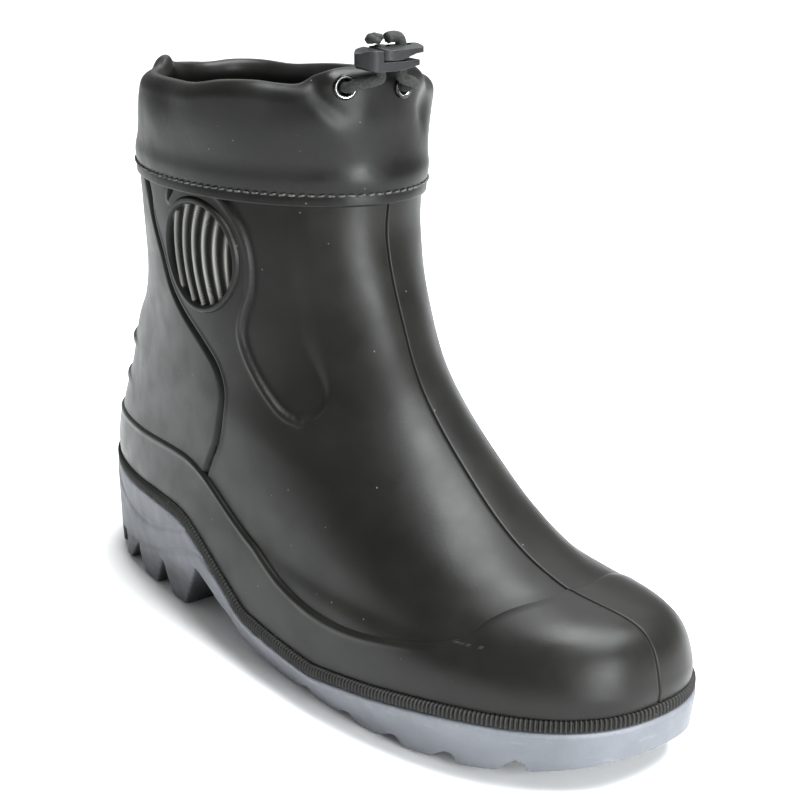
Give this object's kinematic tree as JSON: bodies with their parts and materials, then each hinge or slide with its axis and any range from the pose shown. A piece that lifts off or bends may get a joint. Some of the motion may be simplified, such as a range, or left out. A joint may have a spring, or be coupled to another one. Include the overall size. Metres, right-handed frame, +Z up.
{
  "type": "rubber rain boot",
  "caption": "Ankle-height rubber rain boot with a lugged sole, a moulded upper and a soft cloth collar gathered by a drawcord and cord lock.",
  "frame": {"origin": "on the ground, under the middle of the boot's overall box", "axes": "+X to the toe, +Y to the inner side of the right foot (the wearer's left), +Z up the shaft"},
  "size_m": [0.3122, 0.1074, 0.2422],
  "materials": {
    "sole": "matt grey injected rubber",
    "welt": "matt black, knurled",
    "upper": "satin black moulded rubber",
    "rand": "satin black moulded rubber",
    "guard": "satin dark grey rubber, ribbed",
    "lining": "knitted, dark grey",
    "insole_foam": "soft foam, matt grey",
    "insole_cover": "brushed cloth, dark grey",
    "collar_cloth": "smooth coated cloth, satin black",
    "thread": "twisted black thread",
    "eyelet": "bright nickel",
    "cord": "braided black cord",
    "lock": "satin dark grey plastic",
    "spring": "bright spring steel"
  },
  "bodies": {
    "boot": {"outsole": "sole", "ribbed_welt": "welt", "upper_shell": "upper", "toe_and_foxing_rand": "rand", "ankle_guard_outer": "guard", "ankle_guard_inner": "guard", "knit_lining": "lining", "insole_foam": "insole_foam", "insole_cover": "insole_cover", "collar": "collar_cloth", "seam_thread": "thread", "eyelet_rear": "eyelet", "eyelet_washer_rear": "eyelet", "eyelet_front": "eyelet", "eyelet_washer_front": "eyelet", "drawcord": "cord", "cord_knot": "cord"},
    "cord_lock": {"cord_lock_body": "lock", "cord_lock_spring": "spring"},
    "lock_plunger": {"cord_lock_plunger": "lock"}
  },
  "joints": [
    {"name": "lock_on_cord", "type": "slide", "parent": "boot", "child": "cord_lock", "axis": [0, 0, -1], "range_m": [0, 0.0015]},
    {"name": "plunger_press", "type": "slide", "parent": "cord_lock", "child": "lock_plunger", "axis": [-0.0793, -0.9968, 0], "range_m": [0, 0.0016], "stiffness_N_per_m": 600, "springref_m": -0.002, "deforming": ["cord_lock_spring"]}
  ]
}
